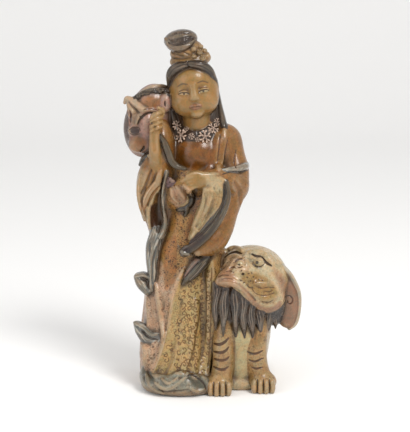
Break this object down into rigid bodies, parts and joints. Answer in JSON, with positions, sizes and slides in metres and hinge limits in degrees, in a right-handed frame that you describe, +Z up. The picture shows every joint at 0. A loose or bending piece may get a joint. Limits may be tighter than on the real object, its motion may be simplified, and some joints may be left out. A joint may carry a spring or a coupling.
{
  "type": "ceramic figure group",
  "caption": "Glazed ceramic group: a robed figure holds a beast mask at the shoulder, with a seated lion-like beast at the side; stands on its flat underside.",
  "frame": {"origin": "a point on the flat underside, near the middle of the foot, level with what it stands on", "axes": "+Z up along the standing figure, the front towards -Y, the beast towards +X"},
  "size_m": [0.1232, 0.0835, 0.2443],
  "materials": {
    "glaze": "coloured glazes over stoneware, ochre, brown, grey and cream, softly glossy"
  },
  "bodies": {
    "root": {"figure_group": "glaze"}
  },
  "joints": []
}
